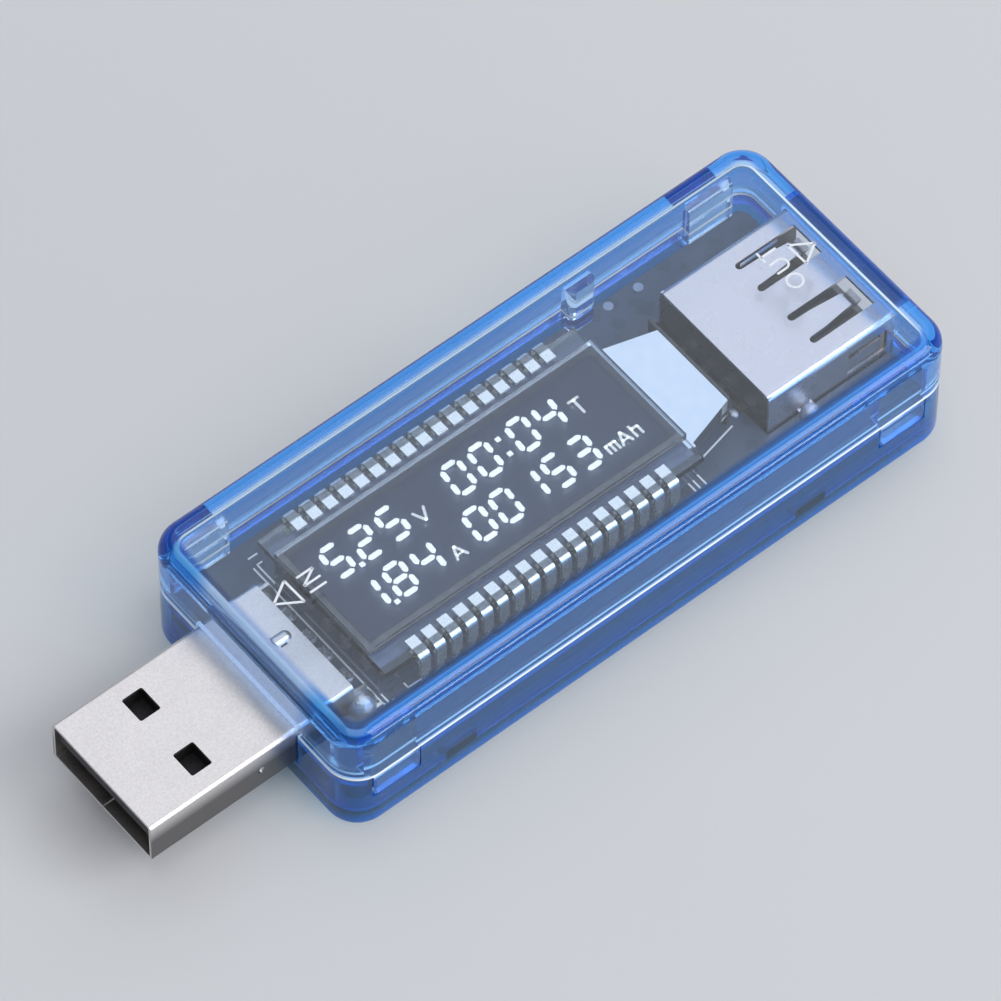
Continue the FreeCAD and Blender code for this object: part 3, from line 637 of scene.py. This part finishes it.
def unit_letters():
    """The units beside the figures: V, A, T and mAh."""
    line = unit_width
    volt = [bar((-5.22, 2.10), (-4.68, 0.92), line), bar((-4.68, 0.92), (-4.10, 2.12), line)]
    ampere = [bar((-5.15, -3.40), (-4.65, -2.16), line), bar((-4.65, -2.16), (-4.13, -3.40), line),
              bar((-4.95, -3.00), (-4.34, -3.00), line * 0.8)]
    clock = [bar((10.30, 2.42), (11.36, 2.42), line), bar((10.83, 2.42), (10.83, 0.95), line)]
    base = -3.30
    low = base + 0.85
    tall = base + 1.25
    charge = [bar((9.98, base), (9.98, low), line), bar((10.42, base), (10.42, low), line),
              bar((10.86, base), (10.86, low), line), bar((9.9, low), (10.94, low), line),
              bar((11.18, base), (11.66, tall), line), bar((11.66, tall), (12.12, base), line),
              bar((11.35, base + 0.4), (11.95, base + 0.4), line * 0.8),
              bar((12.52, base), (12.52, tall), line), bar((12.52, low), (13.16, low), line),
              bar((13.12, base), (13.12, low), line)]
    return volt + ampere + clock + charge


lit_white = (1.0, 0.985, 0.94)
lit_dim = (0.93, 0.93, 0.90)
lit_digit = glowing("lit_segment", lit_white, lit_dim, 2.6)
lit_unit = glowing("lit_unit", lit_white, lit_dim, 1.7)
flat_piece("display_figures", display_segments(), segment_z0, segment_z1, lit_digit)
flat_piece("display_units", unit_letters(), segment_z0, segment_z1, lit_unit)


# Port marks just under the skin of the clear cover
ink_z0 = case_top - 0.040
ink_z1 = case_top - 0.025
white_ink = moulded("white_ink", (0.80, 0.82, 0.84), (0.88, 0.90, 0.92), 0.5, 9.0, 0.003)
line_width = 0.20


def hollow_triangle(corners, width):
    """Three strokes round a triangle, their ends overlapping at the corners."""
    return [bar(corners[i], corners[(i + 1) % 3], width) for i in range(3)]


def arc(x, y, radius, start, end, width, steps=14):
    """Strokes along part of a circle, from one angle in degrees to another."""
    angles = [math.radians(start + (end - start) * i / steps) for i in range(steps + 1)]
    points = [(x + radius * math.cos(a), y + radius * math.sin(a)) for a in angles]
    return [bar(points[i], points[i + 1], width) for i in range(steps)]


def port_marks():
    """Arrows and words at the two ports; the words read along +Y with their tops towards -X."""
    line = line_width
    plug_mark = hollow_triangle([(-17.15, 2.52), (-17.10, 0.10), (-19.05, 1.36)], line)
    top_x = -16.28
    foot_x = -14.72
    word_in = [bar((top_x, 2.13), (foot_x, 2.13), line), bar((top_x, 1.19), (foot_x, 1.19), line),
               bar((foot_x, 2.10), (top_x, 1.22), line), bar((top_x, 0.46), (foot_x, 0.46), line)]
    socket_mark = hollow_triangle([(31.98, 2.20), (32.05, -0.02), (33.80, 1.05)], line)
    letter_top = 29.66
    word_out = arc(30.34, -0.68, 0.64, 0, 360, line, 22)
    word_out += [bar((letter_top, 0.62), (30.55, 0.62), line), bar((letter_top, 1.62), (30.55, 1.62), line)]
    word_out += arc(30.55, 1.12, 0.50, -90, 90, line)
    word_out += [bar((letter_top, 2.02), (letter_top, 3.14), line)]
    word_out += [bar((letter_top, 2.58), (31.14, 2.58), line)]
    return plug_mark + word_in + socket_mark + word_out


flat_piece("port_marks", port_marks(), ink_z0, ink_z1, white_ink)


# White print and bare pads on the board
board_top_z = box_mm("circuit_board")[1].z
print_z0 = board_top_z + 0.002
print_z1 = board_top_z + 0.018
print_width = 0.15


def board_print():
    """The display's outline, drawn double at its ends, with its corner and locating marks."""
    line = print_width
    marks = [bar((-15.24, 9.50), (-14.34, 9.50), line), bar((-16.40, 6.95), (-15.45, 6.95), line)]
    marks += [bar((-15.42, 8.60), (-15.42, -7.05), line), bar((-15.00, 8.72), (-15.00, -7.40), line)]
    marks += [bar((-15.05, 8.68), (-14.50, 8.68), line), bar((-15.02, -7.36), (-14.50, -7.68), line)]
    marks += [bar((-16.40, -6.92), (-15.45, -6.92), line * 1.8), bar((-15.42, -7.00), (-15.15, -7.60), line)]
    marks += [bar((-13.05, -6.60), (-13.05, -7.15), line), bar((-13.10, -7.12), (-11.50, -7.20), line)]
    marks += [bar((x, -6.10), (x, -7.45), line) for x in (15.15, 15.60, 16.20)]
    marks += [bar((17.30, -5.20), (21.20, -4.35), line)]
    return marks


def disc(x, y, radius, steps=18):
    """The outline of a round pad about its centre."""
    turns = [2 * math.pi * i / steps for i in range(steps)]
    return [(x + radius * math.cos(a), y + radius * math.sin(a)) for a in turns]


pads = [disc(23.91, 10.2, 0.42), disc(20.96, 10.29, 0.42)]
flat_piece("board_print", board_print(), print_z0, print_z1, white_ink)
flat_piece("bare_pads", pads, print_z0, print_z1, materials["solder"])


# Floor, light and camera ---------------------------------------------------------------------------

def floor():
    """A pale matt floor a hair below the case."""
    material, tree, output = start_material("pale_floor")
    at = millimetres(tree)
    shader = add(tree, "BsdfPrincipled", {"Roughness": 0.7})
    tree.links.new(blend_colours(tree, noise(tree, at, 0.02, 3.0), (0.60, 0.60, 0.61), (0.63, 0.63, 0.64)),
                   shader.inputs["Base Color"])
    tree.links.new(shader.outputs["BSDF"], output.inputs["Surface"])
    half = 1.5
    drop = 0.05 * MM
    mesh = bpy.data.meshes.new("floor")
    mesh.from_pydata([(-half, -half, -drop), (half, -half, -drop), (half, half, -drop), (-half, half, -drop)],
                     [], [(0, 1, 2, 3)])
    mesh.materials.append(material)
    plane = bpy.data.objects.new("floor", mesh)
    bpy.context.scene.collection.objects.link(plane)


# The camera: degrees, metres and the lens's focal length for its 36 mm sensor
camera_azimuth = -39.65
camera_elevation = 56.32
camera_roll = 0.42
camera_distance = 677.2 * MM
camera_target = Vector((2.967, 1.466, 5.5)) * MM
camera_lens = 319.37


def direction(azimuth, elevation):
    """The unit vector from the object towards a place at an azimuth and elevation in degrees."""
    a = math.radians(azimuth)
    e = math.radians(elevation)
    return Vector((math.sin(a) * math.cos(e), -math.cos(a) * math.cos(e), math.sin(e)))


def camera():
    """A long lens that frames the whole meter."""
    data = bpy.data.cameras.new("camera")
    data.lens = camera_lens
    data.sensor_width = 36
    data.clip_start = 0.05
    data.clip_end = 5.0
    eye = bpy.data.objects.new("camera", data)
    bpy.context.scene.collection.objects.link(eye)
    back = direction(camera_azimuth, camera_elevation)
    turn = (-back).to_track_quat("-Z", "Y").to_matrix() @ Matrix.Rotation(math.radians(camera_roll), 3, "Z")
    eye.matrix_world = Matrix.Translation(camera_target + back * camera_distance) @ turn.to_4x4()
    bpy.context.scene.camera = eye


def area_light(name, azimuth, elevation, distance, width, height, power, colour):
    """A softbox at an azimuth and elevation, facing the object; lengths in metres, power in watts."""
    data = bpy.data.lights.new(name, "AREA")
    data.shape = "RECTANGLE"
    data.size = width
    data.size_y = height
    data.energy = power
    data.color = colour
    lamp = bpy.data.objects.new(name, data)
    bpy.context.scene.collection.objects.link(lamp)
    away = direction(azimuth, elevation)
    lamp.location = away * distance
    lamp.rotation_mode = "QUATERNION"
    lamp.rotation_quaternion = (-away).to_track_quat("-Z", "Y")
    lamp.visible_camera = False


def lights():
    """Three softboxes, one of them mirrored in the clear top, and a low strip for the upright edges."""
    area_light("mirror_softbox", camera_azimuth + 180, 60, distance=0.8, width=0.9, height=0.8,
               power=2.1, colour=(0.95, 0.96, 1.0))
    area_light("front_softbox", camera_azimuth, 68, distance=1.4, width=1.0, height=1.0,
               power=5.0, colour=(1.0, 0.99, 0.98))
    area_light("low_strip", 21, 7, distance=1.0, width=0.7, height=0.14,
               power=2.0, colour=(0.97, 0.98, 1.0))
    area_light("right_softbox", 30, 42, distance=1.2, width=0.9, height=0.7,
               power=8.0, colour=(0.97, 0.98, 1.0))


def world():
    """A soft pale room, lighter towards its horizon."""
    made = bpy.data.worlds.new("studio")
    made.use_nodes = True
    tree = made.node_tree
    place = add(tree, "TexCoord")
    height = along_axes(tree, place.outputs["Generated"])["Z"]
    low_light = remap(tree, height, 1.0, 0.0, 0.0, 0.5)
    colour = blend_colours(tree, low_light, (0.20, 0.22, 0.25), (0.55, 0.60, 0.66))
    tree.links.new(colour, tree.nodes["Background"].inputs["Color"])
    bpy.context.scene.world = made


def view_settings():
    """Plain colours, and enough bounces for light to cross the clear parts."""
    scene = bpy.context.scene
    scene.view_settings.view_transform = "Standard"
    scene.cycles.max_bounces = 24
    scene.cycles.transmission_bounces = 20
    scene.cycles.transparent_max_bounces = 24
    scene.cycles.glossy_bounces = 6


floor()
camera()
lights()
world()
view_settings()
